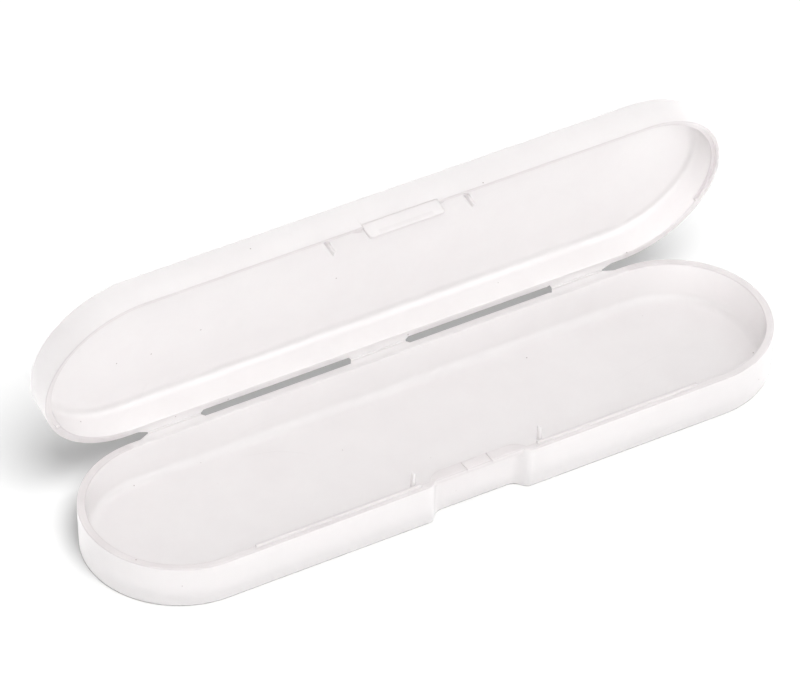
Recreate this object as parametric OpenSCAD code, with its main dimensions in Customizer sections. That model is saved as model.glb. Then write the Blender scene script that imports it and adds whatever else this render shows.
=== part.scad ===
// Travel case for an electric toothbrush, standing open on a table.
// It is one moulding: a tray, a lid, three film hinges that join them, and a thumb tab that snaps over a catch.
// The origin is the middle of the tray's flat underside. +X runs along the case and the thumb tab faces -Y.
// The lid and the tab are drawn as they lie on the shut case, and are then turned open about the hinge line.

/* [Case] */
// Length of the case
case_l = 220; // [190:1:250]
// Width of the case
case_w = 57.5; // [50:0.5:64]
// Height of the tray, from its underside to its rim
tray_h = 14; // [12:0.5:20]
// Height of the lid, from its rim to its outer face
lid_h = 10.5; // [9:0.5:16]
// Thickness of the side walls
wall_t = 2.3; // [1.9:0.1:2.8]
// Thickness of the tray floor and of the lid panel
panel_t = 1.4; // [1:0.1:2]
// How far each side wall leans in between its rim and its panel
draft = 0.4; // [0.1:0.1:0.6]
// Rounding of the outer edge round the floor and the lid panel
edge_r = 0.8; // [0.4:0.1:1.2]
// Rounding inside, where the walls meet the floor and the lid panel
fillet_r = 3; // [1.5:0.5:4]
// Gap between the two rims when the case is shut
seat_gap = 0.25; // [0.2:0.05:0.4]

/* [Hinge] */
// Angle that the lid stands open at
open_angle = 79; // [0:1:170]
// Distance of the hinge line behind the back walls
hinge_reach = 1.4; // [1.2:0.1:2]
// Radius of the flexing film along the hinge line
film_r = 0.3; // [0.25:0.05:0.4]
// Running gap between the film and the lid's leaves
film_gap = 0.05; // [0.03:0.01:0.08]
// How far down the wall each leaf is rooted
leaf_drop = 1.8; // [1.2:0.1:2.4]
// Length of the middle film
mid_film_l = 18; // [12:1:24]
// Length of each outer film
side_film_l = 17; // [12:1:20]
// Distance from the end of the case to the far end of an outer film
side_film_end = 35; // [34:1:45]
// How much longer than its film a leaf is at its root, at a plain end
leaf_flare = 0.8; // [0.4:0.1:2]
// How much longer than its film an outer leaf is at its root, towards the end of the case
leaf_end_flare = 3.2; // [1:0.1:4]

/* [Thumb recess and catch] */
// Length of the flat face of the recess in the tray's front wall
recess_l = 22; // [18:1:26]
// Depth of the recess
recess_d = 3.9; // [3:0.1:4.5]
// Length of the curve that leads into the recess at each end
recess_lead = 6.5; // [6:0.1:8]
// Thickness of the wall behind the recess
recess_wall_t = 1.5; // [1.2:0.1:2]
// Thickness of the catch ledge along the top of the recess
ledge_t = 1.6; // [1.2:0.1:2]
// Length of the catch ledge
ledge_l = 25; // [20:1:28]
// Length of the catch tongue in the middle of the ledge
tongue_l = 8; // [6:0.5:12]
// Width of the slits beside the catch tongue
slit_w = 0.3; // [0.2:0.05:0.5]
// Depth of the slits beside the catch tongue
slit_depth = 3; // [2:0.5:5]

/* [Thumb tab] */
// Length of the thumb tab along the case
tab_l = 24.4; // [18:0.2:26]
// Thickness of the thumb tab
tab_t = 1; // [0.8:0.1:1.2]
// How far the thumb tab hangs below the lid's rim
tab_drop = 4.4; // [3.8:0.1:6]
// Rounding of the tab's lower corners
tab_corner_r = 1.2; // [0.6:0.1:2]
// Height of the tab's root line above the lid's rim
tab_root = 0.5; // [0.3:0.1:1]
// Running gap round the tab's root
tab_gap = 0.06; // [0.04:0.01:0.1]
// How far the snap bead stands out of the tab's inner face
bead_h = 0.4; // [0.2:0.05:0.6]
// Height of the snap bead up the tab
bead_w = 1.6; // [1.2:0.1:2]
// Length of the snap bead
bead_l = 18; // [12:1:20]
// Gap between the snap bead and the edge of the catch ledge as it goes past
catch_gap = 0.2; // [0.15:0.05:0.4]
// Gap between the shut bead and the underside of the catch ledge
bead_clear = 0.4; // [0.3:0.05:0.6]

/* [Rim and guide ribs] */
// Width of the lid's outer lip, and of the step beside the tray's rim tongues
lip_w = 1.1; // [0.9:0.1:1.2]
// Depth of the step inside the lid's lip
lip_d = 0.95; // [0.8:0.05:1.2]
// Height of the tray's rim tongues
rim_tongue_h = 0.7; // [0.4:0.1:0.8]
// Distance from the middle of the case to the near end of a rim tongue
rim_tongue_x = 19; // [18.5:0.5:24]
// Distance from the end of the case to the far end of a rim tongue
rim_tongue_end = 38; // [30:1:60]
// Distance from the middle of the case to each guide rib of the tray
tray_rib_x = 20.6; // [19:0.1:22]
// Distance between a tray rib and the lid rib beside it, middle to middle
rib_pitch = 2; // [1.8:0.1:3]
// Thickness of a guide rib
rib_t = 1.3; // [1:0.1:1.4]
// How far a guide rib stands out past the wall's inner face
rib_d = 2; // [1.5:0.1:3]
// How far the tray's ribs rise above its rim
tray_rib_rise = 4.4; // [2:0.2:5]
// How far the lid's ribs reach below its rim
lid_rib_reach = 3; // [2:0.2:5]
// Side gap between a rib and the other half's wall
rib_gap = 0.45; // [0.35:0.05:0.6]

/* [Hidden] */
$fn = 96;
half_w = case_w / 2;
straight_l = case_l - case_w;
lid_rim_z = tray_h + seat_gap;
hinge_y = half_w + hinge_reach;
hinge_z = tray_h + seat_gap / 2;
side_film_x = case_l / 2 - side_film_end - side_film_l;
side_film_mid = side_film_x + side_film_l / 2;
rim_tongue_far_x = case_l / 2 - rim_tongue_end;
tab_axis_y = -half_w + tab_t / 2;
tab_axis_z = lid_rim_z + tab_root;
ledge_edge_y = -half_w + tab_t + bead_h + catch_gap;
recess_face_y = -half_w + recess_d;
// The curve into the recess is two equal arcs that meet half way
lead_turn = 2 * atan(recess_d / recess_lead);
lead_r = recess_lead / (2 * sin(lead_turn));
bead_top_z = tray_h - ledge_t - bead_clear;
tongue_gap = 0.15;
spare = 1;

frosted = [0.93, 0.93, 0.92];
frosted_edge = [0.88, 0.88, 0.87];

// Turns what is drawn on the shut case to where the open lid carries it
module on_open_lid() {
    translate([0, hinge_y, hinge_z])
        rotate([-open_angle, 0, 0])
            translate([0, -hinge_y, -hinge_z])
                children();
}

// Half of a pan's cross-section: leaning wall, flat panel at the bottom, rounded edge between them
module pan_section(reach, height, lean, round_r) {
    polygon([
        [0, 0],
        [reach - lean - round_r, 0],
        [reach - lean, round_r],
        [reach, height],
        [0, height]
    ]);
    translate([reach - lean - round_r, round_r])
        circle(round_r);
}

// A solid pan with half-round ends, rim upwards
module pan(reach, height, lean, round_r) {
    rotate([90, 0, 90])
        linear_extrude(straight_l, center = true) {
            pan_section(reach, height, lean, round_r);
            mirror([1, 0])
                pan_section(reach, height, lean, round_r);
        }
    for (side = [-1, 1])
        translate([side * straight_l / 2, 0, 0])
            rotate([0, 0, -90 * side])
                rotate_extrude(angle = 180)
                    pan_section(reach, height, lean, round_r);
}

// The whole outer form of a half of the case, panel down, and its hollow, which runs on past the rim
module half_outside(height) {
    pan(half_w, height, draft, edge_r);
}
module half_hollow(height) {
    translate([0, 0, panel_t])
        pan(half_w - wall_t, height - panel_t + spare, draft, fillet_r);
}

// A flat plate with half-round ends
module plate(reach, height) {
    linear_extrude(height) {
        square([straight_l, 2 * reach], center = true);
        for (side = [-1, 1])
            translate([side * straight_l / 2, 0])
                circle(reach);
    }
}

// Plan of the thumb recess, grown outwards by a wall's thickness
module recess_plan(grow) {
    inner_x = recess_l / 2;
    outer_x = inner_x + recess_lead;
    inner_c = [inner_x, recess_face_y - lead_r];
    outer_c = [outer_x, -half_w + lead_r];
    meet = inner_c + (outer_c - inner_c) * (lead_r + grow) / norm(outer_c - inner_c);
    back_y = recess_face_y + grow;
    front_y = -half_w - 2 * spare;
    difference() {
        union() {
            polygon([
                [-outer_x, front_y],
                [outer_x, front_y],
                [outer_x, -half_w + grow],
                meet,
                [inner_x, back_y],
                [-inner_x, back_y],
                [-meet[0], meet[1]],
                [-outer_x, -half_w + grow]
            ]);
            for (side = [-1, 1])
                translate([side * inner_c[0], inner_c[1]])
                    intersection() {
                        circle(lead_r + grow);
                        translate([-lead_r - grow, 0])
                            square(2 * (lead_r + grow));
                    }
        }
        for (side = [-1, 1])
            translate([side * outer_c[0], outer_c[1]])
                circle(lead_r - grow);
    }
}

// The two slits that free the catch tongue
module catch_slits() {
    for (side = [-1, 1])
        translate([side * (tongue_l + slit_w) / 2 - slit_w / 2, ledge_edge_y - spare, tray_h - slit_depth])
            cube([slit_w, recess_face_y + recess_wall_t - ledge_edge_y + 2 * spare, slit_depth + spare]);
}

module tray_shell() {
    color(frosted)
        difference() {
            half_outside(tray_h);
            translate([0, 0, -spare])
                linear_extrude(tray_h + 2 * spare)
                    recess_plan(0);
            difference() {
                half_hollow(tray_h);
                linear_extrude(tray_h + 2 * spare)
                    recess_plan(recess_wall_t);
            }
            catch_slits();
        }
}

// Low tongues on the inner half of the tray's front rim, which sit in the step of the lid's lip
module rim_tongues() {
    outer_y = -half_w + lip_w + tongue_gap;
    inner_y = -half_w + wall_t;
    color(frosted)
        for (side = [-1, 1])
            translate([side > 0 ? rim_tongue_x : -rim_tongue_far_x, 0, tray_h])
                rotate([90, 0, 90])
                    linear_extrude(rim_tongue_far_x - rim_tongue_x)
                        polygon([
                            [outer_y, 0],
                            [inner_y, 0],
                            [inner_y, rim_tongue_h],
                            [outer_y + rim_tongue_h / 4, rim_tongue_h]
                        ]);
}

// Ledge that overhangs the recess, over which the thumb tab snaps
module ledge_block() {
    translate([0, 0, tray_h - ledge_t])
        linear_extrude(ledge_t)
            intersection() {
                recess_plan(0);
                translate([-ledge_l / 2, ledge_edge_y])
                    square([ledge_l, recess_d]);
            }
}

module catch_ledge() {
    color(frosted)
        difference() {
            ledge_block();
            translate([-tongue_l / 2 - slit_w, ledge_edge_y - spare, tray_h - ledge_t - spare])
                cube([tongue_l + 2 * slit_w, recess_d + 2 * spare, ledge_t + 2 * spare]);
        }
}

module catch_tongue() {
    color(frosted)
        intersection() {
            ledge_block();
            translate([-tongue_l / 2, ledge_edge_y - spare, tray_h - ledge_t - spare])
                cube([tongue_l, recess_d + 2 * spare, ledge_t + 2 * spare]);
        }
}

// A guide rib on the front wall of one half, panel down, with a rounded tip past the rim
module guide_rib(height, past_rim) {
    inner_y = -half_w + wall_t;
    tip_r = rib_t / 2;
    intersection() {
        translate([-rib_t / 2, inner_y - spare, 0])
            cube([rib_t, rib_d + spare, height]);
        half_hollow(height);
    }
    translate([-rib_t / 2, inner_y + rib_gap, height])
        cube([rib_t, rib_d - rib_gap, past_rim - tip_r]);
    translate([0, inner_y + rib_gap, height + past_rim - tip_r])
        rotate([-90, 0, 0])
            cylinder(h = rib_d - rib_gap, r = tip_r);
}

module tray_guide_ribs() {
    color(frosted)
        for (side = [-1, 1])
            translate([side * tray_rib_x, 0, 0])
                guide_rib(tray_h, tray_rib_rise);
}

// Leaf that carries a film: rooted in the back wall and thin at the hinge line
module leaf(near_x, far_x, near_flare, far_flare) {
    root_y = half_w - wall_t / 2;
    intersection() {
        difference() {
            rotate([90, 0, 90])
                linear_extrude(far_x + far_flare + case_l / 2)
                    polygon([
                        [root_y, tray_h],
                        [hinge_y, tray_h],
                        [hinge_y, hinge_z - film_r],
                        [root_y, tray_h - leaf_drop]
                    ]);
            half_outside(tray_h);
        }
        linear_extrude(tray_h + spare)
            polygon([
                [near_x - near_flare, half_w - wall_t],
                [near_x - near_flare, half_w],
                [near_x, hinge_y],
                [far_x, hinge_y],
                [far_x + far_flare, half_w],
                [far_x + far_flare, half_w - wall_t]
            ]);
    }
}

module film(length, gap) {
    translate([0, hinge_y, hinge_z])
        rotate([0, 90, 0])
            cylinder(h = length + 2 * gap, r = film_r + gap, center = true);
}

// The leaves of one half, before they are turned or mirrored into place
module side_leaf(gap) {
    difference() {
        leaf(side_film_x, side_film_x + side_film_l, leaf_flare, leaf_end_flare);
        translate([side_film_mid, 0, 0])
            film(side_film_l, gap);
    }
}

module middle_leaf(gap) {
    difference() {
        translate([-mid_film_l, 0, 0])
            leaf(mid_film_l / 2, 3 * mid_film_l / 2, leaf_flare, leaf_flare);
        film(mid_film_l, gap);
    }
}

// Moves a leaf drawn on the tray to the same place on the shut lid
module mirrored_to_lid() {
    translate([0, 0, 2 * hinge_z])
        mirror([0, 0, 1])
            children();
}

module tray_leaf_left() {
    color(frosted_edge)
        mirror([1, 0, 0])
            side_leaf(0);
}

module tray_leaf_middle() {
    color(frosted_edge)
        middle_leaf(0);
}

module tray_leaf_right() {
    color(frosted_edge)
        side_leaf(0);
}

module hinge_film_left() {
    color(frosted_edge)
        translate([-side_film_mid, 0, 0])
            film(side_film_l, 0);
}

module hinge_film_middle() {
    color(frosted_edge)
        film(mid_film_l, 0);
}

module hinge_film_right() {
    color(frosted_edge)
        translate([side_film_mid, 0, 0])
            film(side_film_l, 0);
}

// Puts a half that is drawn panel down onto the shut case as its lid
module as_lid() {
    translate([0, 0, lid_rim_z + lid_h])
        mirror([0, 0, 1])
            children();
}

// The step inside the lid's lip, round the front and the ends
module lip_step() {
    step_x = rim_tongue_x - 3 * spare;
    back_y = half_w / 2;
    difference() {
        translate([0, 0, lid_h - lip_d])
            plate(half_w - lip_w, lip_d + spare);
        translate([-step_x, -half_w, 0])
            cube([2 * step_x, half_w, lid_h + 2 * spare]);
        translate([-case_l / 2, back_y, 0])
            cube([case_l, half_w, lid_h + 2 * spare]);
    }
}

// The seat that the thumb tab's root turns in
module tab_seat() {
    seat_l = tab_l + 2 * tab_gap;
    translate([0, tab_axis_y, tab_axis_z])
        rotate([0, 90, 0])
            cylinder(h = seat_l, r = tab_t / 2 + tab_gap, center = true);
    translate([-seat_l / 2, -half_w - spare, lid_rim_z - spare])
        cube([seat_l, tab_t + tab_gap + spare, tab_root + spare]);
}

module lid_shell() {
    color(frosted)
        on_open_lid()
            difference() {
                as_lid()
                    difference() {
                        half_outside(lid_h);
                        half_hollow(lid_h);
                        lip_step();
                    }
                tab_seat();
            }
}

module lid_guide_ribs() {
    color(frosted)
        on_open_lid()
            as_lid()
                for (side = [-1, 1])
                    translate([side * (tray_rib_x + rib_pitch), 0, 0])
                        guide_rib(lid_h, lid_rib_reach);
}

module lid_leaf_left() {
    color(frosted_edge)
        on_open_lid()
            mirrored_to_lid()
                mirror([1, 0, 0])
                    side_leaf(film_gap);
}

module lid_leaf_middle() {
    color(frosted_edge)
        on_open_lid()
            mirrored_to_lid()
                middle_leaf(film_gap);
}

module lid_leaf_right() {
    color(frosted_edge)
        on_open_lid()
            mirrored_to_lid()
                side_leaf(film_gap);
}

// Front view of the thumb tab below its root line, with rounded lower corners
module tab_face() {
    low_z = lid_rim_z - tab_drop;
    translate([-tab_l / 2, low_z + tab_corner_r])
        square([tab_l, tab_drop + tab_root - tab_corner_r]);
    translate([-tab_l / 2 + tab_corner_r, low_z])
        square([tab_l - 2 * tab_corner_r, tab_corner_r]);
    for (side = [-1, 1])
        translate([side * (tab_l / 2 - tab_corner_r), low_z + tab_corner_r])
            circle(tab_corner_r);
}

module thumb_tab() {
    color(frosted)
        on_open_lid() {
            translate([0, tab_axis_y, tab_axis_z])
                rotate([0, 90, 0])
                    cylinder(h = tab_l, r = tab_t / 2, center = true);
            translate([0, -half_w + tab_t, 0])
                rotate([90, 0, 0])
                    linear_extrude(tab_t)
                        tab_face();
        }
}

// Snap bead along the tab's inner face, which passes the ledge and comes to rest under it
module snap_bead() {
    bead_y = -half_w + tab_t;
    color(frosted_edge)
        on_open_lid()
            rotate([90, 0, 90])
                linear_extrude(bead_l, center = true)
                    polygon([
                        [bead_y, bead_top_z],
                        [bead_y + bead_h, bead_top_z - bead_h],
                        [bead_y + bead_h, bead_top_z - bead_w / 2],
                        [bead_y, bead_top_z - bead_w]
                    ]);
}

tray_shell();
rim_tongues();
catch_ledge();
catch_tongue();
tray_guide_ribs();
tray_leaf_left();
tray_leaf_middle();
tray_leaf_right();
hinge_film_left();
hinge_film_middle();
hinge_film_right();
lid_shell();
lid_guide_ribs();
lid_leaf_left();
lid_leaf_middle();
lid_leaf_right();
thumb_tab();
snap_bead();
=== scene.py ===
"""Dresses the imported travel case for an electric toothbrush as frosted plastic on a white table."""

import logging
import math
from dataclasses import dataclass
from enum import Enum

import bmesh
import bpy
from mathutils import Matrix, Vector

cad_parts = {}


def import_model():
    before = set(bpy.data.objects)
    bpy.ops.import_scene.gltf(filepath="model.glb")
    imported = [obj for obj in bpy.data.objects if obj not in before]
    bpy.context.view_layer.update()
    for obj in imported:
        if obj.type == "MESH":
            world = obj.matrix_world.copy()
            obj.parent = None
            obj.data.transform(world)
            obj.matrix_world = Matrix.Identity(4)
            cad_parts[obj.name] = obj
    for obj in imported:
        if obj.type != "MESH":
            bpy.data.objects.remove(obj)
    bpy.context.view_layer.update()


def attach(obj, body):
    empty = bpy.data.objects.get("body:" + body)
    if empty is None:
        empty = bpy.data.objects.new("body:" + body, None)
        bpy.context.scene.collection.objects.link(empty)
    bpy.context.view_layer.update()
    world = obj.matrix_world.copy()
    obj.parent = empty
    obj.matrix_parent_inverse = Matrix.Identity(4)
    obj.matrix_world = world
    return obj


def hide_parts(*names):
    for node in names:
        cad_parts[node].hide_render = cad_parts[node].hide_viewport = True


LOG = logging.getLogger("case")
MM = 0.001  # metres
WELD = 0.0002 * MM  # points nearer than this become one
CREASE = 34.0  # degrees; sharper edges are not shaded smooth
SHADE_ATTRIBUTE = "edge"  # the point attribute that carries the painted edge shade

Colour = tuple[float, float, float]
SocketKey = int | str
Point = tuple[float, float]
Place = tuple[float, float, float]


def direction(azimuth: float, elevation: float) -> Vector:
    """Gives the unit vector towards an azimuth and an elevation.

    Args:
        azimuth: 0 is in front of the case and 90 to its right, in degrees.
        elevation: the angle above the table, in degrees.

    Returns:
        The vector, from the case outwards.
    """
    turn, lift = math.radians(azimuth), math.radians(elevation)
    return Vector((math.sin(turn) * math.cos(lift), -math.cos(turn) * math.cos(lift), math.sin(lift)))


class Wire:
    """A shader socket that takes part in Python sums, each of which adds a Math node."""

    def __init__(self, graph: "Graph", socket: bpy.types.NodeSocket) -> None:
        """Keeps the socket and the graph that it belongs to."""
        self.graph = graph
        self.socket = socket

    def math(self, operation: str, other: "Wire | float" = 0.0, flip: bool = False) -> "Wire":
        """Adds a Math node on this wire.

        Args:
            operation: the Math node's operation.
            other: the second value, a wire or a number.
            flip: whether the second value comes first.

        Returns:
            The node's result.
        """
        first, second = (other, self) if flip else (self, other)
        return self.graph.add("ShaderNodeMath", {"operation": operation}, {0: first, 1: second})

    def __add__(self, other: "Wire | float") -> "Wire":
        """Gives this plus other."""
        return self.math("ADD", other)

    def __radd__(self, other: float) -> "Wire":
        """Gives other plus this."""
        return self.math("ADD", other, True)

    def __sub__(self, other: "Wire | float") -> "Wire":
        """Gives this minus other."""
        return self.math("SUBTRACT", other)

    def __rsub__(self, other: float) -> "Wire":
        """Gives other minus this."""
        return self.math("SUBTRACT", other, True)

    def __mul__(self, other: "Wire | float") -> "Wire":
        """Gives this times other."""
        return self.math("MULTIPLY", other)

    def __rmul__(self, other: float) -> "Wire":
        """Gives other times this."""
        return self.math("MULTIPLY", other, True)

    def spread(self, low: float, high: float) -> "Wire":
        """Stretches low to high onto 0 to 1, and holds it there."""
        return self.graph.add(
            "ShaderNodeMapRange",
            {"clamp": True},
            {"Value": self, "From Min": low, "From Max": high, "To Min": 0.0, "To Max": 1.0},
        )


class Graph:
    """The node tree of one material or of the world."""

    def __init__(self, tree: bpy.types.NodeTree) -> None:
        """Empties the tree and keeps it."""
        self.tree = tree
        tree.nodes.clear()

    def add(
        self,
        kind: str,
        settings: dict[str, object] | None = None,
        inputs: dict[SocketKey, object] | None = None,
        output: SocketKey = 0,
    ) -> Wire:
        """Adds a node.

        Args:
            kind: the node's type.
            settings: its settings, which are set first.
            inputs: the values or wires of its sockets, by name or place.
            output: the socket to hand back.

        Returns:
            The wire out of that socket.
        """
        node = self.tree.nodes.new(kind)
        for name, value in (settings or {}).items():
            setattr(node, name, value)
        for key, value in (inputs or {}).items():
            if isinstance(value, Wire):
                self.tree.links.new(value.socket, node.inputs[key])
            else:
                node.inputs[key].default_value = value
        return Wire(self, node.outputs[output]) if len(node.outputs) else Wire(self, node.inputs[0])

    def mix(self, first: "Wire | Colour", second: "Wire | Colour", factor: "Wire | float") -> Wire:
        """Mixes two colours.

        Args:
            first: the colour at factor 0.
            second: the colour at factor 1.
            factor: how much of the second colour shows.

        Returns:
            The mixed colour.
        """
        sides = [side if isinstance(side, Wire) else (*side, 1.0) for side in (first, second)]
        inputs = {0: factor, 6: sides[0], 7: sides[1]}
        return self.add("ShaderNodeMix", {"data_type": "RGBA"}, inputs, 2)

    def noise(self, place: Wire, scale: float, detail: float = 2.0, rough: float = 0.5) -> Wire:
        """Gives fractal noise, whose scale is in cells per metre."""
        inputs = {"Vector": place, "Scale": scale, "Detail": detail, "Roughness": rough}
        return self.add("ShaderNodeTexNoise", None, inputs)


@dataclass(frozen=True)
class FrostedPlastic:
    """Frosted, nearly colourless polypropylene, with shade painted along the rims and edges that a point
    attribute marks.
    """

    name: str
    clear: Colour = (0.955, 0.922, 0.924)
    cloudy: Colour = (0.980, 0.952, 0.952)
    # painted shade colour for rims and edges, standing in for the darkening that light takes where the
    # plastic turns
    edge: Colour = (0.70, 0.655, 0.66)
    speck: Colour = (0.34, 0.28, 0.26)
    scratch: Colour = (0.86, 0.83, 0.83)
    roughness: float = 0.38
    glow: float = 0.5
    clearness: float = 0.4
    body: float = 0.95
    depth: float = 2.0 * MM
    refraction: float = 1.49
    cloud_scale: float = 60.0
    cloud_span: Point = (0.35, 0.65)
    cloud_gloss: float = 0.12
    grain_scale: float = 2500.0
    grain_strength: float = 0.12
    grain_height: float = 0.05 * MM
    speck_scale: float = 200.0
    speck_span: Point = (0.03, 0.055)
    speck_rarity: float = 0.72
    speck_shade: float = 0.8
    scratch_scale: float = 30.0
    scratch_stretch: Place = (0.35, 1.0, 1.0)
    scratch_width: float = 0.003
    patch_scale: float = 22.0
    patch_span: Point = (0.60, 0.66)
    scratch_shade: float = 0.35
    scratch_gloss: float = 0.15

    def make(self) -> bpy.types.Material:
        """Builds the material and returns it."""
        material = bpy.data.materials.new(self.name)
        material.use_nodes = True
        graph = Graph(material.node_tree)
        place = graph.add("ShaderNodeTexCoord", None, None, "Object")
        clouds = graph.noise(place, self.cloud_scale, 4.0, 0.6).spread(*self.cloud_span)
        painted_edge_shade = graph.add("ShaderNodeAttribute", {"attribute_name": SHADE_ATTRIBUTE}, None, "Fac")
        scratched = self._scratches(graph, place)
        base = graph.mix(self.clear, self.cloudy, clouds)
        # painted shade: darkens the rims and edges as far as the point attribute asks
        base = graph.mix(base, self.edge, painted_edge_shade)
        base = graph.mix(base, self.scratch, scratched * self.scratch_shade)
        base = graph.mix(base, self.speck, self._specks(graph, place) * self.speck_shade)
        rough = self.roughness + self.cloud_gloss * (clouds - 0.5)
        grain = graph.noise(place, self.grain_scale, 3.0)
        bumps = {"Strength": self.grain_strength, "Distance": self.grain_height, "Height": grain}
        looks = {
            "Base Color": base,
            "Roughness": rough + self.scratch_gloss * scratched,
            "IOR": self.refraction,
            "Transmission Weight": self.clearness,
            "Alpha": self.body,
            "Subsurface Weight": self.glow,
            "Subsurface Radius": (1.0, 1.0, 1.0),
            "Subsurface Scale": self.depth,
            "Normal": graph.add("ShaderNodeBump", None, bumps),
        }
        shader = graph.add("ShaderNodeBsdfPrincipled", None, looks)
        graph.add("ShaderNodeOutputMaterial", None, {"Surface": shader})
        return material

    def _specks(self, graph: Graph, place: Wire) -> Wire:
        """Gives 1 in the few dark specks of dust in the plastic."""
        cells = {"Vector": place, "Scale": self.speck_scale}
        near = graph.add("ShaderNodeTexVoronoi", None, cells, "Distance")
        chance = graph.add("ShaderNodeTexVoronoi", None, cells, "Color")
        return (1.0 - near.spread(*self.speck_span)) * chance.math("GREATER_THAN", self.speck_rarity)

    def _scratches(self, graph: Graph, place: Wire) -> Wire:
        """Gives up to 1 along a few fine scratches, longer along the case than across it."""
        longer = {0: place, 1: self.scratch_stretch}
        drawn = graph.add("ShaderNodeVectorMath", {"operation": "MULTIPLY"}, longer)
        level = (graph.noise(drawn, self.scratch_scale, 1.0) - 0.5).math("ABSOLUTE")
        patch = graph.noise(place, self.patch_scale, 1.0).spread(*self.patch_span)
        return (1.0 - level.spread(0.0, self.scratch_width)) * patch


@dataclass(frozen=True)
class CameraPlace:
    """The photograph's camera, in the part's frame."""

    focal_px: float = 6844.39
    frame_w_px: float = 800.0
    sensor_mm: float = 36.0
    azimuth: float = -30.756
    elevation: float = 39.874
    roll: float = 1.1856
    slide_right: float = -8.623 * MM
    slide_up: float = 27.828 * MM
    distance: float = 1951.66 * MM
    clip_start: float = 0.05
    clip_end: float = 50.0

    def make(self) -> bpy.types.Object:
        """Makes the camera, sets it as the scene's camera and returns it."""
        back = direction(self.azimuth, self.elevation)
        level = (-back).cross(Vector((0, 0, 1))).normalized()
        upright = level.cross(-back)
        lean = math.radians(self.roll)
        right = level * math.cos(lean) + upright * math.sin(lean)
        up = upright * math.cos(lean) - level * math.sin(lean)
        spot = back * self.distance + right * self.slide_right + up * self.slide_up
        data = bpy.data.cameras.new("camera")
        data.sensor_fit = "HORIZONTAL"
        data.sensor_width = self.sensor_mm
        data.lens = self.focal_px / self.frame_w_px * self.sensor_mm
        data.clip_start = self.clip_start
        data.clip_end = self.clip_end
        camera = bpy.data.objects.new("camera", data)
        bpy.context.collection.objects.link(camera)
        axes = Matrix((right, up, back)).transposed().to_4x4()
        camera.matrix_world = Matrix.Translation(spot) @ axes
        bpy.context.scene.camera = camera
        return camera


class Reach(Enum):
    """What a studio lamp lights."""

    TABLE = "table"
    CASE = "case"


@dataclass(frozen=True)
class Lamp:
    """A broad far lamp, whose spread is the angle that it fills, in degrees."""

    FAR = 2.0

    name: str
    energy: float
    azimuth: float
    elevation: float
    spread: float
    reach: Reach

    def make(self, lit: bpy.types.Collection) -> None:
        """Makes the lamp.

        Args:
            lit: the collection that holds what the lamp lights.
        """
        data = bpy.data.lights.new(self.name, "SUN")
        data.energy = self.energy
        data.angle = math.radians(self.spread)
        lamp = bpy.data.objects.new(self.name, data)
        back = direction(self.azimuth, self.elevation)
        lamp.rotation_mode = "QUATERNION"
        lamp.rotation_quaternion = (-back).to_track_quat("-Z", "Y")
        lamp.location = back * self.FAR
        bpy.context.collection.objects.link(lamp)
        lamp.light_linking.receiver_collection = lit


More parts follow.
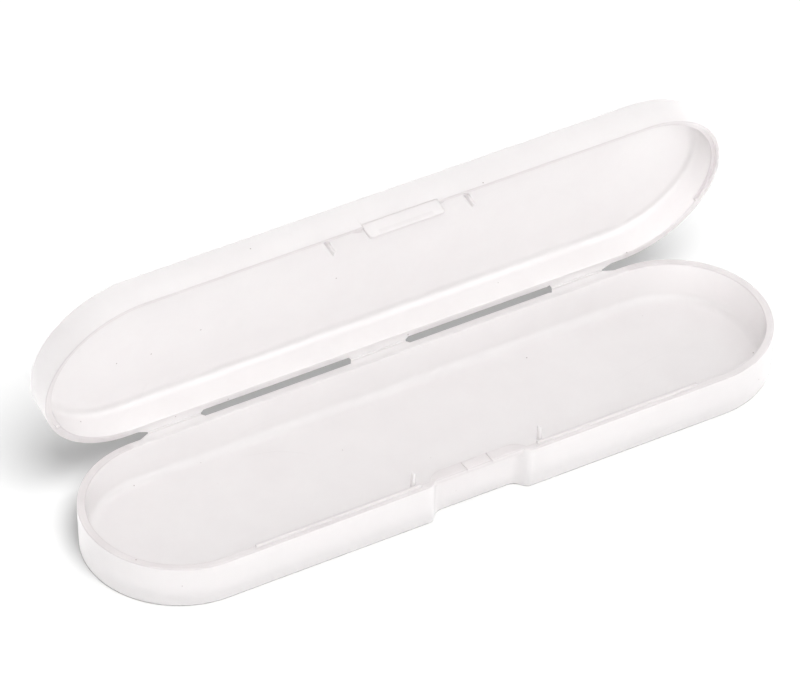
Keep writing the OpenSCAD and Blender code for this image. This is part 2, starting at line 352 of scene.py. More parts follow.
@dataclass(frozen=True)
class Studio:
    """A white table under soft studio light."""

    sky: float = 0.61
    lamps: tuple[Lamp, ...] = (
        Lamp("table_key", 6.5, -6.0, 62.0, 36.0, Reach.TABLE),
        Lamp("table_top", 1.4, 120.0, 84.0, 100.0, Reach.TABLE),
        Lamp("case_top", 1.6, -4.0, 62.0, 60.0, Reach.CASE),
        Lamp("case_left", 0.15, -62.0, 36.0, 60.0, Reach.CASE),
        Lamp("case_right", 0.8, 95.0, 3.0, 60.0, Reach.CASE),
        Lamp("case_front", 0.6, 5.0, 6.0, 60.0, Reach.CASE),
        Lamp("case_back", 0.6, 175.0, 2.0, 60.0, Reach.CASE),
    )
    deep_bounces: int = 32
    bounces: int = 12
    floor_reach: float = 6.0
    floor_steps: int = 96
    floor_gap: float = 0.05 * MM
    floor_grey: float = 0.36
    floor_lift: float = 0.05
    floor_through: float = 0.95

    def make(self, case_pieces: bpy.types.Collection) -> None:
        """Makes the world, the lamps and the floor.

        Args:
            case_pieces: the collection that holds every piece of the case.
        """
        scene = bpy.context.scene
        scene.view_settings.view_transform = "Standard"
        paths = scene.cycles
        paths.max_bounces = self.deep_bounces
        paths.transmission_bounces = self.deep_bounces
        paths.diffuse_bounces = self.bounces
        paths.glossy_bounces = self.bounces
        world = bpy.data.worlds.new("studio")
        scene.world = world
        world.use_nodes = True
        graph = Graph(world.node_tree)
        seen = self._seen(graph)
        level = self.sky + (1.0 - self.sky) * seen.math("MAXIMUM", self._through(graph))
        glow = graph.add("ShaderNodeBackground", None, {"Color": (1, 1, 1, 1), "Strength": level})
        graph.add("ShaderNodeOutputWorld", None, {"Surface": glow})
        table = bpy.data.collections.new("table_pieces")
        table.objects.link(self._floor())
        for lamp in self.lamps:
            lamp.make(table if lamp.reach is Reach.TABLE else case_pieces)

    @staticmethod
    def _seen(graph: Graph) -> Wire:
        """Gives 1 for a ray that shows the background straight to the camera."""
        return graph.add("ShaderNodeLightPath", None, None, "Is Camera Ray")

    @staticmethod
    def _through(graph: Graph) -> Wire:
        """Gives 1 for a ray that shows the background in a gloss or through the plastic."""
        mirrored = graph.add("ShaderNodeLightPath", None, None, "Is Glossy Ray")
        passed = graph.add("ShaderNodeLightPath", None, None, "Is Transmission Ray")
        bounced = graph.add("ShaderNodeLightPath", None, None, "Diffuse Depth")
        return mirrored.math("MAXIMUM", passed) * bounced.math("LESS_THAN", 0.5)

    def _floor(self) -> bpy.types.Object:
        """Makes the table top, a broad disc that keeps the case's shadow, and returns it."""
        steps = self.floor_steps
        turns = [2 * math.pi * step / steps for step in range(steps)]
        reach, height = self.floor_reach, -self.floor_gap
        ring = [(reach * math.cos(turn), reach * math.sin(turn), height) for turn in turns]
        mesh = bpy.data.meshes.new("table_top")
        mesh.from_pydata(ring, [], [list(range(steps))])
        floor = bpy.data.objects.new("table_top", mesh)
        bpy.context.collection.objects.link(floor)
        material = bpy.data.materials.new("white_table")
        material.use_nodes = True
        graph = Graph(material.node_tree)
        grey = (self.floor_grey,) * 3 + (1.0,)
        matt = graph.add("ShaderNodeBsdfDiffuse", None, {"Color": grey, "Roughness": 0.0})
        shown = self._seen(graph) * self.floor_lift + self._through(graph) * self.floor_through
        lift = graph.add("ShaderNodeEmission", None, {"Color": (1, 1, 1, 1), "Strength": shown})
        both = graph.add("ShaderNodeAddShader", None, {0: matt, 1: lift})
        graph.add("ShaderNodeOutputMaterial", None, {"Surface": both})
        mesh.materials.append(material)
        return floor


class Side(Enum):
    """The four runs of the case's outline."""

    FRONT = "front"
    RIGHT = "right"
    BACK = "back"
    LEFT = "left"


@dataclass(frozen=True)
class Station:
    """A place on the case's outline where a cross-section is drawn."""

    side: Side
    anchor: Point
    outward: Point

    def place(self, depth: float, reach: float) -> Point:
        """Gives the plan position of a point.

        Args:
            depth: its distance inwards from the rim's outer edge.
            reach: the distance from the anchor to that edge.

        Returns:
            Its x and y.
        """
        far = reach - depth
        return (self.anchor[0] + far * self.outward[0], self.anchor[1] + far * self.outward[1])


@dataclass(frozen=True)
class LeafSpan:
    """Where a hinge leaf stands along the back wall, in millimetres."""

    start: float
    end: float
    start_flare: float
    end_flare: float

    def share(self, x: float) -> float:
        """Gives how much of its full reach the leaf has at x, from 0 to 1."""
        rise = (x - self.start + self.start_flare) / self.start_flare
        fall = (self.end + self.end_flare - x) / self.end_flare
        return max(0.0, min(1.0, rise, fall))

    def breaks(self) -> list[float]:
        """Gives the places where the leaf's outline turns."""
        return [self.start - self.start_flare, self.start, self.end, self.end + self.end_flare]


@dataclass(frozen=True)
class CaseForm:
    """Sizes that the tray, the lid and the hinge share, in millimetres."""

    length: float = 220.0
    width: float = 57.5
    tray_height: float = 14.0
    lid_height: float = 10.5
    wall: float = 2.3
    panel: float = 1.4
    draft: float = 0.4
    edge_round: float = 0.8
    fillet: float = 3.0
    seat_gap: float = 0.25
    rim_round: float = 0.22
    hinge_reach: float = 1.4
    film_radius: float = 0.3
    leaf_drop: float = 1.8
    leaf_bury: float = 0.06
    open_angle: float = 79.0
    leaves: tuple[LeafSpan, ...] = (
        LeafSpan(-75.0, -58.0, 3.2, 0.8),
        LeafSpan(-9.0, 9.0, 0.8, 0.8),
        LeafSpan(58.0, 75.0, 0.8, 3.2),
    )

    @property
    def half_width(self) -> float:
        """Half of the case's width."""
        return self.width / 2

    @property
    def straight_half(self) -> float:
        """Half of the straight part's length."""
        return (self.length - self.width) / 2

    @property
    def hinge_y(self) -> float:
        """The hinge line's distance behind the middle."""
        return self.half_width + self.hinge_reach

    @property
    def hinge_z(self) -> float:
        """The hinge line's height."""
        return self.tray_height + self.seat_gap / 2

    @property
    def lid_rim_z(self) -> float:
        """The height of the shut lid's rim."""
        return self.tray_height + self.seat_gap

    def opened(self) -> Matrix:
        """Gives the turn in metres that carries a form on the shut lid to its place on the open lid."""
        hinge = Matrix.Translation((0.0, self.hinge_y * MM, self.hinge_z * MM))
        return hinge @ Matrix.Rotation(math.radians(-self.open_angle), 4, "X") @ hinge.inverted()

    def lid_place(self) -> Matrix:
        """Gives the matrix in metres that carries a form drawn panel down to the open lid."""
        high = (self.lid_rim_z + self.lid_height) * MM
        shut = Matrix.Translation((0.0, 0.0, high)) @ Matrix.Scale(-1.0, 4, (0.0, 0.0, 1.0))
        return self.opened() @ shut


def arc(centre: Point, radius: float, start: float, end: float, steps: int) -> list[Point]:
    """Gives points on a circle.

    Args:
        centre: the circle's centre.
        radius: its radius.
        start: the first point's angle, in degrees.
        end: the last point's angle, in degrees.
        steps: how many equal steps lie between them.

    Returns:
        The points, both ends among them.
    """
    turns = [math.radians(start + (end - start) * step / steps) for step in range(steps + 1)]
    return [(centre[0] + radius * math.cos(t), centre[1] + radius * math.sin(t)) for t in turns]


def between(first: Point, last: Point, count: int) -> list[Point]:
    """Gives evenly spaced points from first to last, both among them."""
    shares = [step / (count - 1) for step in range(count)]
    return [
        (first[0] + (last[0] - first[0]) * share, first[1] + (last[1] - first[1]) * share)
        for share in shares
    ]


def make_piece(
    name: str, rings: list[list[Place]], edges: list[list[float]], closed: bool, place: Matrix
) -> bpy.types.Object:
    """Skins a row of rings into one clean mesh object.

    Args:
        name: the piece's name.
        rings: rings of equally many points, in millimetres.
        edges: how much painted edge shade each of these points has, from 0 to 1.
        closed: True where the last ring joins the first and each ring is an open line; False where
            each ring is a closed loop and the first and last are capped.
        place: the matrix that moves the mesh into the part's frame, in metres.

    Returns:
        The object, linked to the scene.
    """
    width = len(rings[0])
    points = [tuple(value * MM for value in point) for ring in rings for point in ring]
    faces: list[list[int]] = []
    ring_steps = len(rings) if closed else len(rings) - 1
    point_steps = width - 1 if closed else width
    for row in range(ring_steps):
        here, there = row * width, (row + 1) % len(rings) * width
        for column in range(point_steps):
            after = (column + 1) % width
            faces.append([here + column, here + after, there + after, there + column])
    if not closed:
        faces.append(list(range(width)))
        faces.append(list(range((len(rings) - 1) * width, len(rings) * width)))
    mesh = bpy.data.meshes.new(name)
    mesh.from_pydata(points, [], faces)
    # painted edge shade, stored on each point for the material
    painted_shade_layer = mesh.attributes.new(SHADE_ATTRIBUTE, "FLOAT", "POINT")
    painted_shade_layer.data.foreach_set("value", [value for ring in edges for value in ring])
    cage = bmesh.new()
    cage.from_mesh(mesh)
    bmesh.ops.remove_doubles(cage, verts=cage.verts, dist=WELD)
    bmesh.ops.dissolve_degenerate(cage, edges=cage.edges, dist=WELD)
    bmesh.ops.transform(cage, matrix=place, verts=cage.verts)
    bmesh.ops.recalc_face_normals(cage, faces=cage.faces)
    cage.to_mesh(mesh)
    cage.free()
    mesh.shade_smooth()
    mesh.set_sharp_from_angle(angle=math.radians(CREASE))
    piece = bpy.data.objects.new(name, mesh)
    bpy.context.collection.objects.link(piece)
    return piece


class HalfShell:
    """One half of the case, drawn panel down as cross-sections round its outline."""

    END_STEPS = 64
    PITCH = 2.5
    CUT = 0.01
    EDGE_FADE = 0.4
    SLOT_LIP = 0.3
    LEAF_ROUND_SHARE = 0.3
    SHOULDER_DROP = 2.2
    SHOULDER_POINTS = 7
    MEAN_TOP = 1.0
    UNDERSIDE = (20.0, 11.0)
    PANEL = (12.0, 20.0)
    OUTER_SHARES = (0.35, 0.6)
    INNER_SHARES = (0.7, 0.55)
    BELOW_RIM = 18
    PAST_RIM = 17
    # painted shade along the rim: a touch at the wall's top, dark lines at the rim's rounded corners, a
    # lighter shade across the rim, and FAINT weakens it
    WALL_SHADE = 0.25
    CORNER_SHADES = (0.35, 0.8, 0.8, 0.35)
    MIDDLE_SHADES = (0.3, 0.3, 0.3, 0.3)
    FAINT = 0.15

    def __init__(self, form: CaseForm, height: float) -> None:
        """Keeps the shared sizes and the half's height."""
        self.form = form
        self.height = height

    def breaks(self) -> list[float]:
        """Gives the places along the case where a section is needed, apart from the even ones."""
        return [x for leaf in self.form.leaves for x in leaf.breaks()]

    def cuts(self) -> list[float]:
        """Gives the places along the case where a form ends abruptly."""
        return []

    def end_turns(self) -> list[float]:
        """Gives the angles of the sections round the right end, in degrees."""
        return [-90.0 + 180.0 * step / self.END_STEPS for step in range(1, self.END_STEPS)]

    def stations(self) -> list[Station]:
        """Gives the stations round the outline, from the left of the front wall."""
        half = self.form.straight_half
        even = int(2 * half / self.PITCH)
        wanted = [-half + 2 * half * step / even for step in range(even + 1)]
        cuts = [side * x for x in self.cuts() for side in (-1, 1)]
        wanted = [x for x in wanted if all(abs(x - cut) > 5 * self.CUT for cut in cuts)]
        wanted += self.breaks() + [cut + self.CUT * side for cut in cuts for side in (-1, 1)]
        places = sorted({round(x, 4) for x in wanted})
        row = [Station(Side.FRONT, (x, 0.0), (0.0, -1.0)) for x in places]
        turns = [math.radians(turn) for turn in self.end_turns()]
        row += [Station(Side.RIGHT, (half, 0.0), (math.cos(t), math.sin(t))) for t in turns]
        row += [Station(Side.BACK, (x, 0.0), (0.0, 1.0)) for x in reversed(places)]
        row += [Station(Side.LEFT, (-half, 0.0), (-math.cos(t), math.sin(t))) for t in reversed(turns)]
        return row

    def outer_floor(self, station: Station) -> float:
        """Gives the least depth of the outer face: 0, or more in the recess."""
        return 0.0

    def inner_floor(self, station: Station) -> float:
        """Gives the least depth of the inner face: 0, or more behind the recess."""
        return 0.0

    def outer_depth(self, station: Station, z: float) -> float:
        """Gives the depth of the outer face at a height."""
        lean = self.form.draft * (self.height - z) / (self.height - self.form.edge_round)
        return max(lean, self.outer_floor(station))

    def inner_depth(self, station: Station, z: float) -> float:
        """Gives the depth of the inner face at a height above its fillet."""
        foot = self.form.panel + self.form.fillet
        lean = self.form.draft * (self.height + 1.0 - z) / (self.height + 1.0 - foot)
        return max(self.form.wall + lean, self.inner_floor(station))

    def at_slot(self, station: Station) -> bool:
        """Tells whether a station of the back wall lies along one of the two open slots."""
        return station.side is Side.BACK and abs(station.anchor[0]) < self.form.leaves[-1].start

    def leaf_share(self, station: Station) -> float:
        """Gives how far a hinge leaf reaches at a station, from 0 to 1."""
        if station.side is not Side.BACK:
            return 0.0
        return max(leaf.share(station.anchor[0]) for leaf in self.form.leaves)

    def shoulder(self, station: Station, top: float) -> tuple[list[Point], float]:
        """Gives the outer face just below the rim.

        Args:
            station: the place on the outline.
            top: the height of the rim there.

        Returns:
            Its points, from the wall up to the rim's outer corner, and that corner's rounding.
        """
        form = self.form
        share = self.leaf_share(station)
        if share == 0.0:
            low, high = top - self.SHOULDER_DROP, top - form.rim_round
            start = (self.outer_depth(station, low), low)
            lip = self.SLOT_LIP if self.at_slot(station) else 0.0
            end = (self.outer_depth(station, high) - lip, high)
            return between(start, end, self.SHOULDER_POINTS), form.rim_round
        reach = share * (form.hinge_reach - form.leaf_bury)
        tip_z = top + form.seat_gap / 2 - form.film_radius
        slope = (tip_z - top + form.leaf_drop) / (form.hinge_reach + form.wall / 2)
        wall = self.outer_depth(station, top - self.MEAN_TOP)
        root_z = tip_z - slope * (form.hinge_reach + wall)
        edge_z = tip_z - slope * (form.hinge_reach - reach)
        rounding = min(form.rim_round, self.LEAF_ROUND_SHARE * (top - edge_z))
        end = (-reach, min(edge_z, top - rounding))
        return between((wall, root_z), end, self.SHOULDER_POINTS), rounding

    def rim(self, station: Station, start: float, end: float, top: float) -> tuple[list[Point], float]:
        """Gives the four middle points of the rim, and the height of its inner corner."""
        return between((start, top), (end, top), 6)[1:-1], top

    def rim_top(self, station: Station) -> float:
        """Gives the height of the rim at a station."""
        return self.height

    def section(self, station: Station) -> list[Point]:
        """Draws the cross-section at a station.

        Args:
            station: the place on the outline.

        Returns:
            Depths and heights, from the middle of the underside round to the middle of the floor.
        """
        form = self.form
        top = self.rim_top(station)
        foot = self.outer_depth(station, form.edge_round)
        line = [(depth, 0.0) for depth in (form.half_width, *self.UNDERSIDE)]
        line += arc((foot + form.edge_round, form.edge_round), form.edge_round, 270.0, 180.0, 6)
        line += [(self.outer_depth(station, top * share), top * share) for share in self.OUTER_SHARES]
        shoulder, rounding = self.shoulder(station, top)
        line += shoulder
        edge = shoulder[-1][0]
        line += arc((edge + rounding, top - rounding), rounding, 180.0, 90.0, 3)
        bevel = form.rim_round
        inner = self.inner_depth(station, top)
        middle, inner_top = self.rim(station, edge + rounding, inner - bevel, top)
        line += middle
        line += arc((inner - bevel, inner_top - bevel), bevel, 90.0, 0.0, 3)
        wall = [inner_top - bevel - self.EDGE_FADE, *(top * share for share in self.INNER_SHARES)]
        line += [(self.inner_depth(station, z), z) for z in wall]
        wall_foot = self.inner_depth(station, form.panel + form.fillet)
        clear = form.wall + form.draft + form.fillet
        fillet = max(1.0, clear - wall_foot)
        line += arc((wall_foot + fillet, form.panel + fillet), fillet, 180.0, 270.0, 10)
        line += [(depth, form.panel) for depth in (*self.PANEL, form.half_width)]
        return line

    def edges(self) -> list[list[float]]:
        """Gives the painted edge shade along each cross-section: two fine lines of painted shade with a
        lighter painted shade across the rim between them.
        """
        rim = [*self.CORNER_SHADES, *self.MIDDLE_SHADES, *self.CORNER_SHADES]
        line = [0.0] * self.BELOW_RIM + [self.WALL_SHADE] + rim + [0.0] * self.PAST_RIM
        faint = [value * self.FAINT for value in line]
        return [faint if self.faint_rim(station) else line for station in self.stations()]

    def faint_rim(self, station: Station) -> bool:
        """Tells whether the rim's painted edge shade is faint at a station."""
        return station.side is Side.BACK

    def rings(self) -> list[list[Place]]:
        """Gives the cross-sections in space, panel down."""
        reach = self.form.half_width
        return [
            [(*station.place(depth, reach), height) for depth, height in self.section(station)]
            for station in self.stations()
        ]


class TrayShell(HalfShell):
    """The tray's floor and walls, with its thumb recess, catch ledge, rim tongues and hinge leaves."""

    RECESS_HALF = 10.65
    RECESS_DEPTH = 3.9
    RECESS_LEAD = 7.2
    RECESS_WALL = 1.5
    LEAD_STEPS = 28
    LEAD_PAST = 0.6
    LEDGE_DROP = 1.6
    LEDGE_EDGE = 1.6
    LEDGE_CORNER = 0.3
    SLIT_START = 4.0
    SLIT_END = 4.2
    SLIT_DROP = 0.6
    TONGUE_START = 19.0
    TONGUE_END = 72.0
    TONGUE_RISE = 0.7
    TONGUE_OUTER = 1.25
    TONGUE_FACE = 0.14
    TONGUE_CORNER = 0.12
    RIM_MIDDLE = 0.7

    def __init__(self, form: CaseForm) -> None:
        """Works out the recess's two equal arcs."""
        super().__init__(form, form.tray_height)
        turn = 2 * math.atan(self.RECESS_DEPTH / self.RECESS_LEAD)
        self.lead_radius = self.RECESS_LEAD / (2 * math.sin(turn))
        self.lead_turn = turn
        left = math.sqrt(self.LEDGE_EDGE * (2 * self.lead_radius - self.LEDGE_EDGE))
        self.ledge_half = self.RECESS_HALF + self.RECESS_LEAD - left

    def curve_depth(self, x: float, grow: float) -> float:
        """Gives the recess's depth at x, for its face grown into the tray by some amount."""
        across = abs(x) - self.RECESS_HALF
        inner = self.lead_radius + grow
        outer = self.lead_radius - grow
        if across <= 0.0:
            return self.RECESS_DEPTH + grow
        if across <= inner * math.sin(self.lead_turn):
            return self.RECESS_DEPTH - self.lead_radius + math.sqrt(inner**2 - across**2)
        if across < self.RECESS_LEAD:
            return self.lead_radius - math.sqrt(max(outer**2 - (self.RECESS_LEAD - across) ** 2, 0.0))
        return 0.0

    def outer_floor(self, station: Station) -> float:
        """Gives the recess's depth at a station."""
        return self.curve_depth(station.anchor[0], 0.0) if station.side is Side.FRONT else 0.0

    def inner_floor(self, station: Station) -> float:
        """Gives the depth of the wall's inner face behind the recess."""
        if station.side is not Side.FRONT:
            return 0.0
        return self.curve_depth(station.anchor[0], self.RECESS_WALL)

    def breaks(self) -> list[float]:
        """Adds close sections through the recess's curves."""
        reach, count = self.RECESS_LEAD + self.LEAD_PAST, self.LEAD_STEPS
        lead = [self.RECESS_HALF + reach * step / count for step in range(-2, count + 1)]
        return super().breaks() + [side * x for x in lead for side in (-1, 1)]

    def cuts(self) -> list[float]:
        """Gives the ends of the ledge, the slits and the rim tongues."""
        return [self.SLIT_START, self.SLIT_END, self.ledge_half, self.TONGUE_START, self.TONGUE_END]

    def in_front(self, station: Station, start: float, end: float) -> bool:
        """Tells whether a station of the front wall lies between two distances from the middle."""
        return station.side is Side.FRONT and start < abs(station.anchor[0]) < end

    def rim_top(self, station: Station) -> float:
        """Gives the rim's height, which drops in the slits."""
        slit = self.in_front(station, self.SLIT_START, self.SLIT_END)
        return self.height - self.SLIT_DROP if slit else self.height

    def shoulder(self, station: Station, top: float) -> tuple[list[Point], float]:
        """Adds the catch ledge to the outer face below the rim."""
        if not self.in_front(station, -1.0, self.ledge_half):
            return super().shoulder(station, top)
        low = self.height - self.LEDGE_DROP
        start = (self.outer_depth(station, low), low)
        line = between(start, (self.LEDGE_EDGE, low), self.SHOULDER_POINTS - 1)
        return line + [(self.LEDGE_EDGE, low + self.LEDGE_CORNER)], self.form.rim_round

    def rim(self, station: Station, start: float, end: float, top: float) -> tuple[list[Point], float]:
        """Adds the rim tongues to the inner half of the front rim."""
        if not self.in_front(station, self.TONGUE_START, self.TONGUE_END):
            return super().rim(station, start, end, top)
        high = top + self.TONGUE_RISE
        foot, face = self.TONGUE_OUTER, self.TONGUE_FACE
        tip = [(foot + face, high - self.TONGUE_CORNER), (foot + 2 * face, high)]
        return [(self.RIM_MIDDLE, top), (foot, top), *tip], high

    def build(self) -> bpy.types.Object:
        """Makes the tray's mesh."""
        return make_piece("tray_moulding", self.rings(), self.edges(), True, Matrix.Identity(4))


class LidShell(HalfShell):
    """The lid's panel and walls, with its stepped lip, the seat of the thumb tab and its hinge leaves."""

    LIP = 1.1
    STEP_DROP = 0.95
    STEP_START = 12.26
    STEP_RAMP = 3.0
    STEP_CORNER = 0.14
    STEP_TURN = 30.0
    TURN_CLEAR = 0.5
    SEAT_HALF = 12.26
    SEAT_DEPTH = 1.22
    SEAT_RADIUS = 0.72
    SEAT_CORNER = 0.12
    RIM_MIDDLE = 0.6
    ROOT_DROP = 0.5
    ROOT_DEPTH = 0.5

    def __init__(self, form: CaseForm) -> None:
        """Takes the lid's height from the shared sizes."""
        super().__init__(form, form.lid_height)

    def cuts(self) -> list[float]:
        """Gives the ends of the tab's seat."""
        return [self.SEAT_HALF]

    def breaks(self) -> list[float]:
        """Adds the place where the lip's step is fully deep."""
        full = self.STEP_START + self.STEP_RAMP
        return super().breaks() + [-full, full]

    def end_turns(self) -> list[float]:
        """Adds the pair of sections where the lip's step ends."""
        pair = [self.STEP_TURN - self.CUT, self.STEP_TURN + self.CUT]
        even = [turn for turn in super().end_turns() if abs(turn - self.STEP_TURN) > self.TURN_CLEAR]
        return sorted(even + pair)

    def in_seat(self, station: Station) -> bool:
        """Tells whether the thumb tab's root sits at a station."""
        return station.side is Side.FRONT and abs(station.anchor[0]) < self.SEAT_HALF

    def step_share(self, station: Station) -> float:
        """Gives how deep the lip's inner step is at a station, from 0 to 1."""
        if station.side is Side.FRONT:
            past = abs(station.anchor[0]) - self.STEP_START
            return max(0.0, min(1.0, past / self.STEP_RAMP))
        limit = math.sin(math.radians(self.STEP_TURN))
        return 1.0 if station.side is not Side.BACK and station.outward[1] < limit else 0.0

    def faint_rim(self, station: Station) -> bool:
        """Adds the thumb tab's seat to the places with faint painted shade."""
        return super().faint_rim(station) or self.in_seat(station)

    def shoulder(self, station: Station, top: float) -> tuple[list[Point], float]:
        """Cuts the seat of the thumb tab's root into the outer face."""
        if not self.in_seat(station):
            return super().shoulder(station, top)
        axis = (self.ROOT_DEPTH, top - self.ROOT_DROP)
        start = 180.0 + math.degrees(math.acos(self.ROOT_DEPTH / self.SEAT_RADIUS))
        line = arc(axis, self.SEAT_RADIUS, start, 360.0, self.SHOULDER_POINTS - 2)
        return line + [(self.SEAT_DEPTH, top - self.SEAT_CORNER)], self.SEAT_CORNER

    def rim(self, station: Station, start: float, end: float, top: float) -> tuple[list[Point], float]:
        """Adds the step inside the lip."""
        drop = self.STEP_DROP * self.step_share(station)
        if drop == 0.0:
            return super().rim(station, start, end, top)
        soft = min(self.STEP_CORNER, drop / 2)
        corner = [(self.LIP - soft, top), (self.LIP, top - soft)]
        return [(self.RIM_MIDDLE, top), *corner, (self.LIP, top - drop)], top - drop

    def build(self) -> bpy.types.Object:
        """Makes the lid's mesh on the open case."""
        return make_piece("lid_moulding", self.rings(), self.edges(), True, self.form.lid_place())


@dataclass(frozen=True)
class GuideRib:
    """An upright rib inside a front wall, drawn panel down as slices from its foot to its tip."""

    name: str
    shell: HalfShell
    x: float
    past_rim: float
    thickness: float = 1.3
    tip_thickness: float = 1.0
    depth: float = 2.0
    gap: float = 0.45
    bury: float = 0.04
    corner: float = 0.3
    free: float = 0.0
    foot_rise: float = 0.4
    slices: int = 10
    crowding: float = 1.6
    jump: float = 0.001
    tip_steps: int = 6
    corner_steps: int = 4
    side_share: float = 0.95
    end_share: float = 0.45
    taper_share: float = 0.5
    least: float = 0.01

    def back_depth(self, z: float) -> float:
        """Gives the depth of the rib's back edge, which is in the wall or clear of it near the rim."""
        form = self.shell.form
        if z > self.shell.height - self.free:
            return form.wall + self.gap
        station = Station(Side.BACK, (0.0, 0.0), (0.0, 1.0))
        foot = form.panel + form.fillet
        wall = self.shell.inner_depth(station, max(z, foot))
        if z < foot:
            wall += form.fillet - math.sqrt(max(form.fillet**2 - (foot - z) ** 2, 0.0))
        return wall - self.bury

    def heights(self) -> list[float]:
        """Gives the heights of the slices."""
        form, top = self.shell.form, self.shell.height
        low = form.panel + self.foot_rise
        round_start = top + self.past_rim - self.tip_thickness / 2
        shares = [(step / self.slices) ** self.crowding for step in range(self.slices)]
        row = [low + (top - low) * share for share in shares]
        split = top - self.free
        row += [split - self.jump, split + self.jump, round_start]
        turns = [math.radians(90.0 * step / self.tip_steps) for step in range(1, self.tip_steps)]
        return row + [round_start + self.tip_thickness / 2 * math.sin(turn) for turn in turns]

    def half_thickness(self, z: float) -> float:
        """Gives half of the rib's thickness at a height, which tapers and rounds off at the tip."""
        top = self.shell.height
        radius = self.tip_thickness / 2
        round_start = top + self.past_rim - radius
        if z > round_start:
            return math.sqrt(max(radius**2 - (z - round_start) ** 2, 0.0))
        start = top * self.taper_share
        share = max(0.0, (z - start) / (round_start - start))
        return (self.thickness + (self.tip_thickness - self.thickness) * share) / 2

    def slice(self, z: float) -> list[Place]:
        """Draws the rib's rounded outline at a height."""
        half = self.half_thickness(z)
        back, front = self.back_depth(z), self.shell.form.wall + self.depth
        radius = min(self.corner, half * self.side_share, (front - back) * self.end_share)
        radius = max(radius, self.least)
        corners = [(half, front, 0.0), (-half, front, 90.0), (-half, back, 180.0), (half, back, 270.0)]
        ring: list[Place] = []
        for x, depth, start in corners:
            centre = (x - math.copysign(radius, x), depth - radius if start < 180.0 else depth + radius)
            for point in arc(centre, radius, start, start + 90.0, self.corner_steps):
                ring.append((self.x + point[0], point[1] - self.shell.form.half_width, z))
        return ring

    def build(self, place: Matrix) -> bpy.types.Object:
        """Makes the rib's mesh and moves it by a matrix."""
        rings = [self.slice(z) for z in self.heights()]
        edges = [[0.0] * len(ring) for ring in rings]
        return make_piece(self.name, rings, edges, False, place)


@dataclass(frozen=True)
class ThumbTab:
    """The tab that hangs past the lid's rim, with its round root and the snap bead on its inner face."""

    FACE_SHARES = (0.12, 0.2, 0.36, 0.44, 0.7)
    CORNER_TURNS = (60.0, 45.0, 30.0, 15.0, 0.0)
    CROWN_STEPS = 7
    # painted shade: dark lines at the tab's sides and tip, and a band where the bead would show through
    # the face
    SIDE_SHADE = 0.3
    TIP_SHADES = (0.4, 0.4, 0.3, 0.15)
    BEAD_SHADES = (0.04, 0.2, 0.2, 0.04, 0.0)

    form: CaseForm
    half_length: float = 12.2
    thickness: float = 1.0
    drop: float = 4.4
    corner: float = 1.2
    root: float = 0.5
    root_rise: float = 0.46
    crown: float = 0.06
    edge: float = 0.18
    edge_step: float = 0.05
    soft_share: float = 0.45
    flat_half: float = 4.0
    back_rise: float = 0.5
    least: float = 0.02
    bead_half: float = 9.0
    bead_height: float = 0.4
    bead_fade: float = 1.2
    bead_top: float = 12.0
    bead_tall: float = 1.6

    def places(self) -> list[float]:
        """Gives the places along the case where the tab's section is drawn."""
        half = self.half_length
        ends = [half, half - self.edge_step, half - self.edge]
        start = half - self.corner
        ends += [start + self.corner * math.sin(math.radians(turn)) for turn in self.CORNER_TURNS]
        ends += [self.bead_half - self.bead_fade * share for share in (0.0, 0.5, 1.0)]
        ends.append(self.flat_half)
        return sorted({round(side * x, 4) for x in ends for side in (-1, 1)} | {0.0})

    def low_edge(self, x: float) -> float:
        """Gives the height of the tab's lower edge at x."""
        low = self.form.lid_rim_z - self.drop
        past = abs(x) - (self.half_length - self.corner)
        if past <= 0.0:
            return low
        return low + self.corner - math.sqrt(max(self.corner**2 - past**2, 0.0))

    def section(self, x: float) -> list[Place]:
        """Draws the tab's closed section at x, as depths and heights."""
        trim = max(0.0, self.edge - (self.half_length - abs(x)))
        trim = self.edge - math.sqrt(max(self.edge**2 - trim**2, 0.0))
        low, high = self.low_edge(x) + trim, self.form.lid_rim_z + self.root
        fade = min(1.0, max(0.0, (self.bead_half - abs(x)) / self.bead_fade))
        bead = self.bead_height * fade
        outer, inner = trim, self.thickness - trim
        soft = min(self.edge, (inner - outer) * self.soft_share)
        half = (inner - outer) / 2
        ring = arc((outer + soft, low + soft), soft, 270.0, 180.0, 3)
        ring += [(outer, low + (high - low) * share) for share in self.FACE_SHARES]
        ring += [(outer, high), (outer, high + self.root_rise - trim), (outer + self.crown, high + half)]
        ring += arc((outer + half, high), half, 90.0, 0.0, self.CROWN_STEPS)
        top, tall = self.bead_top, self.bead_tall
        ring += [(inner, top + self.back_rise), (inner, top), (inner + bead, top - self.bead_height)]
        ring += [(inner + bead, top - tall / 2), (inner, max(top - tall, low + soft + self.least))]
        ring += arc((inner - soft, low + soft), soft, 0.0, -90.0, 3)
        return [(x, depth - self.form.half_width, height) for depth, height in ring]

    def edges(self, x: float, count: int) -> list[float]:
        """Gives the painted edge shade of the section's points at x.

        Args:
            x: the place along the case.
            count: how many points the section has.

        Returns:
            Painted shade: fine dark lines at the tab's sides and tip, and a painted band where the bead
                would show through its face.
        """
        if self.half_length - abs(x) < self.edge + self.least:
            return [self.SIDE_SHADE] * count
        tip, face = list(self.TIP_SHADES), list(self.BEAD_SHADES)
        if abs(x) >= self.bead_half:
            face = [0.0] * len(face)
        return tip + face + [0.0] * (count - len(face) - 2 * len(tip)) + tip

    def build(self) -> bpy.types.Object:
        """Makes the tab's mesh on the open case."""
        places = self.places()
        rings = [self.section(x) for x in places]
        edges = [self.edges(x, len(ring)) for x, ring in zip(places, rings)]
        return make_piece("thumb_tab_moulding", rings, edges, False, self.form.opened())


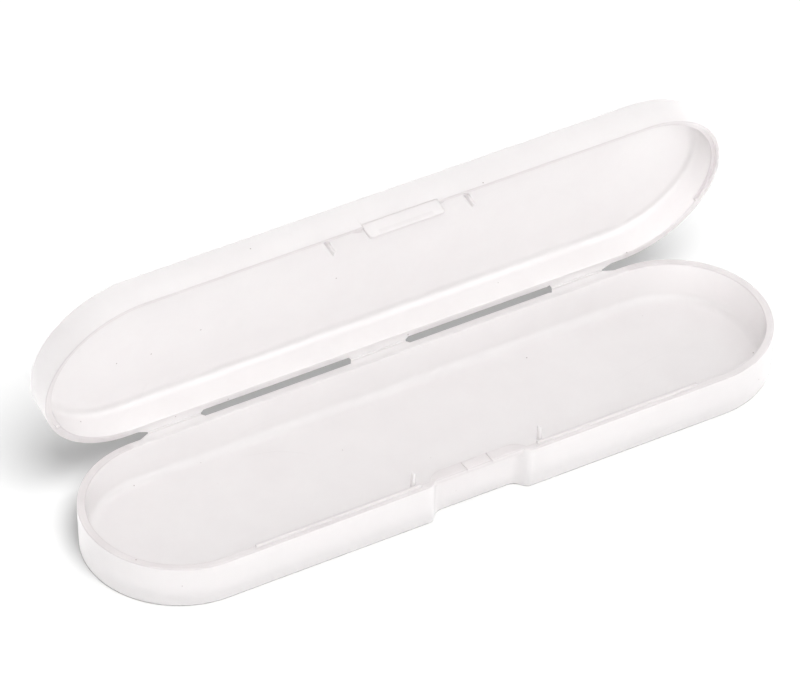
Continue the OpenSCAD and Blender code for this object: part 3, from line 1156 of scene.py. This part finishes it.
@dataclass(frozen=True)
class HingeFilm:
    """The thin web that flexes along the hinge line."""

    END_SIZES = ((0.0, 0.6), (0.08, 0.9), (0.2, 1.0))
    STEPS = 12
    CORNERS = 16
    # painted shade along the whole film, so that it reads as a faint dark line
    FILM_SHADE = 0.2

    name: str
    form: CaseForm
    middle: float
    length: float

    def build(self) -> bpy.types.Object:
        """Makes the film's mesh as a slim rounded bar."""
        half, radius = self.length / 2, self.form.film_radius
        ends = [(-half + inwards, size) for inwards, size in self.END_SIZES]
        spots = ends + [(-half + self.length * step / self.STEPS, 1.0) for step in range(1, self.STEPS)]
        spots += [(-x, size) for x, size in reversed(ends)]
        rings = []
        for x, size in spots:
            last = 360.0 - 360.0 / self.CORNERS
            centre = (self.form.hinge_y, self.form.hinge_z)
            ring = arc(centre, radius * size, 0.0, last, self.CORNERS - 1)
            rings.append([(self.middle + x, y, z) for y, z in ring])
        edges = [[self.FILM_SHADE] * len(ring) for ring in rings]
        return make_piece(self.name, rings, edges, False, Matrix.Identity(4))


class Slot(Enum):
    """The record's material slots."""

    SHELL = "frosted_shell"
    HINGE = "hinge_plastic"
    LATCH = "latch_plastic"


class Finish(Enum):
    """The plastics of the case, each with the material slot that it belongs to."""

    SHELL = (Slot.SHELL, FrostedPlastic("frosted_shell"))
    RIB = (Slot.SHELL, FrostedPlastic("frosted_rib", clearness=0.3, body=0.96))
    HINGE = (Slot.HINGE, FrostedPlastic("hinge_plastic", clearness=0.15, body=1.0))
    LATCH = (Slot.LATCH, FrostedPlastic("latch_plastic"))

    def __init__(self, slot: Slot, plastic: FrostedPlastic) -> None:
        """Keeps the slot and the plastic."""
        self.slot = slot
        self.plastic = plastic


class TravelCase:
    """The whole case: tray, lid, latch and hinge films, each built, dressed and put on its body."""

    SIDES = (("left", -1), ("right", 1))
    FILMS = ("left", "middle", "right")
    TRAY_RIB_X = 20.6
    TRAY_RIB_RISE = 4.4
    LID_RIB_X = 22.6
    LID_RIB_RISE = 3.0
    LID_RIB_FREE = 1.1

    def __init__(self, form: CaseForm) -> None:
        """Makes the plastics and keeps the sizes."""
        self.form = form
        self.pieces = bpy.data.collections.new("case_pieces")
        self.materials = {finish: finish.plastic.make() for finish in Finish}

    def dress(self, piece: bpy.types.Object, body: str, finish: Finish, nodes: list[str]) -> None:
        """Gives a piece its plastic, its body and the nodes that it stands for.

        Args:
            piece: the piece.
            body: the body that it moves with.
            finish: its plastic and material slot.
            nodes: the names of the CAD nodes.
        """
        piece.data.materials.append(self.materials[finish])
        self.pieces.objects.link(piece)
        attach(piece, body)
        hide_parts(*nodes)
        LOG.info("%s rides on %s and stands for %s", piece.name, body, ", ".join(nodes))

    def tray(self) -> None:
        """Builds the tray and its guide ribs."""
        shell = TrayShell(self.form)
        leaves = ["tray_leaf_left", "tray_leaf_middle", "tray_leaf_right"]
        nodes = ["tray_shell", "rim_tongues", "catch_ledge", "catch_tongue", *leaves]
        self.dress(shell.build(), "tray", Finish.SHELL, nodes)
        for name, side in self.SIDES:
            rib = GuideRib(f"tray_guide_rib_{name}", shell, side * self.TRAY_RIB_X, self.TRAY_RIB_RISE)
            self.dress(rib.build(Matrix.Identity(4)), "tray", Finish.RIB, ["tray_guide_ribs"])

    def lid(self) -> None:
        """Builds the lid and its guide ribs."""
        shell = LidShell(self.form)
        leaves = ["lid_leaf_left", "lid_leaf_middle", "lid_leaf_right"]
        self.dress(shell.build(), "lid", Finish.SHELL, ["lid_shell", *leaves])
        place = self.form.lid_place()
        for name, side in self.SIDES:
            x, rise = side * self.LID_RIB_X, self.LID_RIB_RISE
            rib = GuideRib(f"lid_guide_rib_{name}", shell, x, rise, free=self.LID_RIB_FREE)
            self.dress(rib.build(place), "lid", Finish.RIB, ["lid_guide_ribs"])

    def latch(self) -> None:
        """Builds the thumb tab with its bead."""
        self.dress(ThumbTab(self.form).build(), "latch", Finish.LATCH, ["thumb_tab", "snap_bead"])

    def films(self) -> None:
        """Builds the three hinge films."""
        for name, leaf in zip(self.FILMS, self.form.leaves):
            middle, length = (leaf.start + leaf.end) / 2, leaf.end - leaf.start
            film = HingeFilm(f"film_{name}", self.form, middle, length)
            self.dress(film.build(), "tray", Finish.HINGE, [f"hinge_film_{name}"])


def main() -> None:
    """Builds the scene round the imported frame."""
    logging.basicConfig(level=logging.INFO, format="%(name)s: %(message)s")
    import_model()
    CameraPlace().make()
    case = TravelCase(CaseForm())
    case.tray()
    case.lid()
    case.latch()
    case.films()
    Studio().make(case.pieces)


if __name__ == "__main__":
    main()
